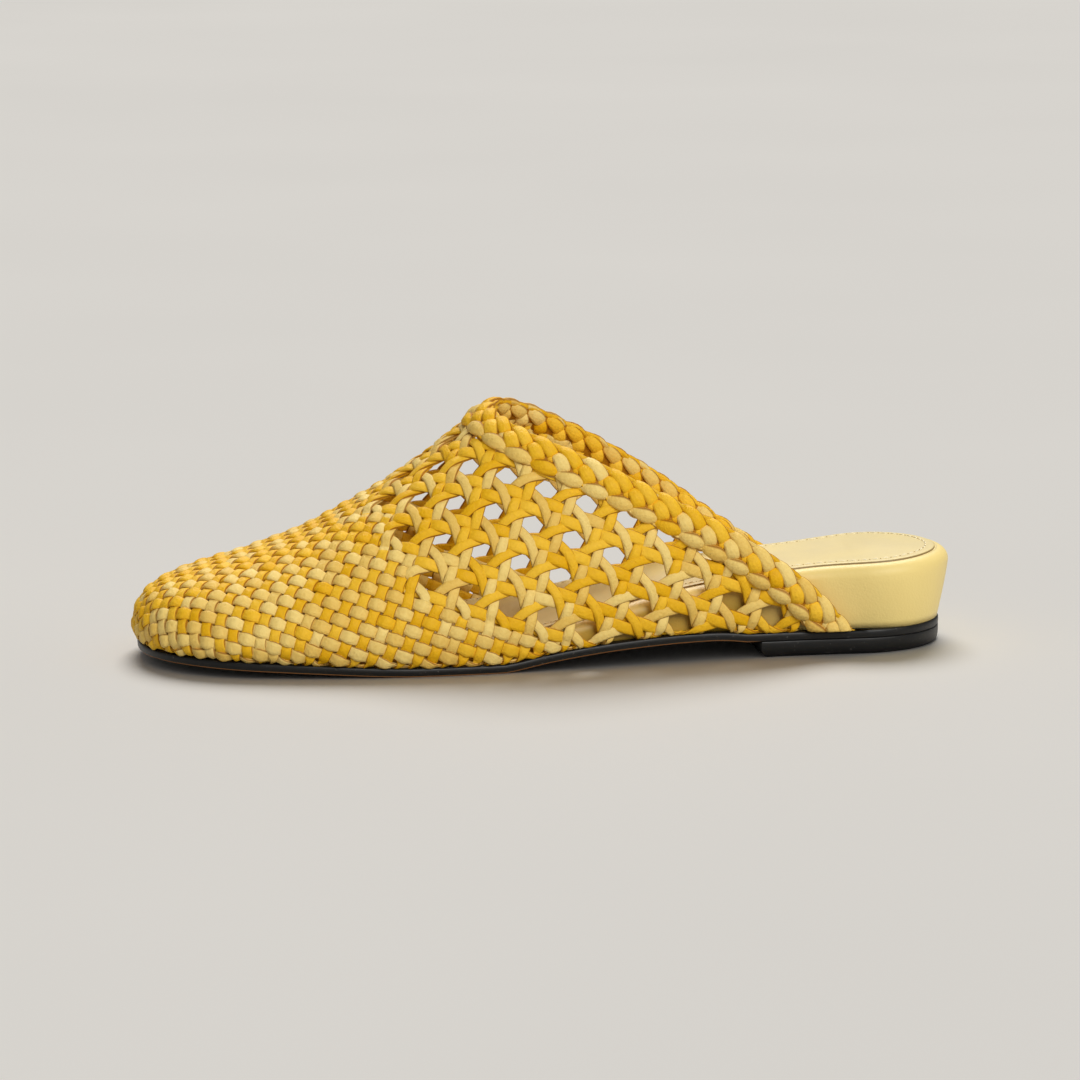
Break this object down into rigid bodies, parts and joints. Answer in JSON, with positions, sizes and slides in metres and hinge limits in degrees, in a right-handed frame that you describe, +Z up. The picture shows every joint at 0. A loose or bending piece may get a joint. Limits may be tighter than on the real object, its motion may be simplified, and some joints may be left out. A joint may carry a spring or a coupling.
{
  "type": "slip-on mule",
  "caption": "Flat backless slip-on mule with a woven leather vamp, a plaited collar, a wrapped wedge footbed and a low heel.",
  "frame": {"origin": "middle of the heel's floor face", "axes": "toe towards -X, heel towards +X, outer side of the left foot towards -Y, +Z up from the floor"},
  "size_m": [0.2523, 0.0871, 0.0764],
  "materials": {
    "black_leather": "smooth edge paint",
    "cream_leather": "fine grain",
    "woven_leather": "woven and plaited strips in two tones"
  },
  "bodies": {
    "root": {"heel_lift": "black_leather", "outsole": "black_leather", "footbed": "cream_leather", "insole": "cream_leather", "upper": "woven_leather", "collar_braid": "woven_leather"}
  },
  "joints": []
}
